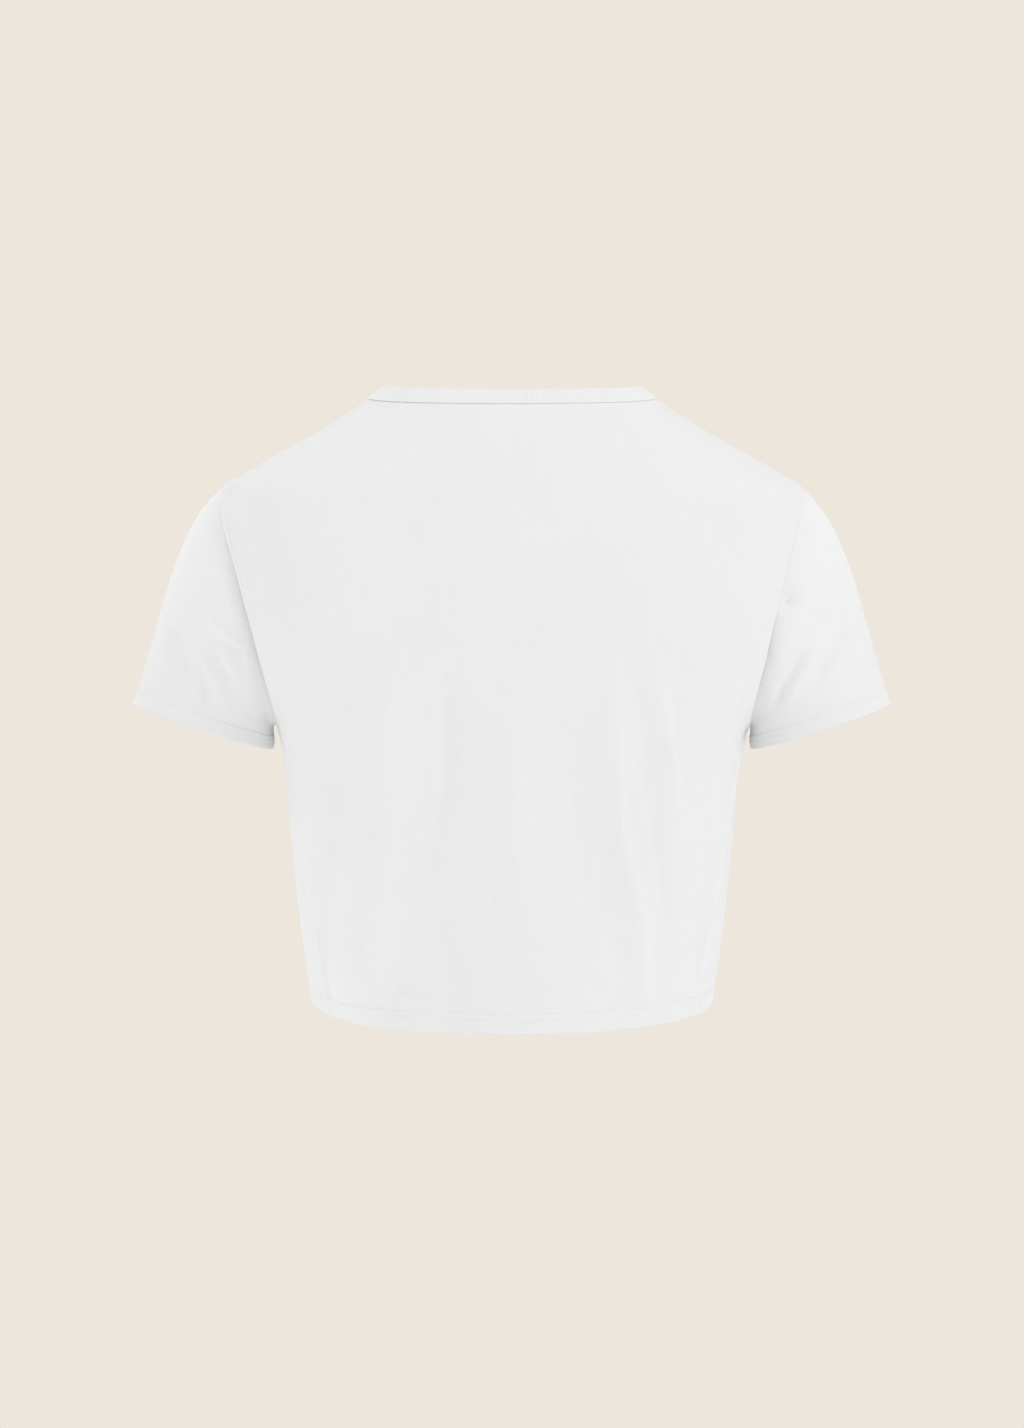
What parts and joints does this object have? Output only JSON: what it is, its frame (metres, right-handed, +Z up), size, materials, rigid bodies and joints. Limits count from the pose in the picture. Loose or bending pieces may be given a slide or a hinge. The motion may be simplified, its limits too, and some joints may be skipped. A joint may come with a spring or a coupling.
{
  "type": "crop top",
  "caption": "Short-sleeved cropped jersey top with a round neckline and narrow rib neckband, filled out as worn, open at neck, hem and cuffs.",
  "frame": {"origin": "midway between the two points where the shoulder seams meet the neckband, between the wearer's shoulders", "axes": "+Z up, the front faces -Y and the back faces +Y, the wearer's left is +X"},
  "size_m": [0.5072, 0.2302, 0.4174],
  "materials": {
    "jersey": "plain white fine single jersey, matt",
    "rib": "plain white fine rib knit, matt"
  },
  "bodies": {
    "root": {"front": "jersey", "back": "jersey", "sleeve_left": "jersey", "sleeve_right": "jersey", "neckband": "rib"}
  },
  "joints": []
}
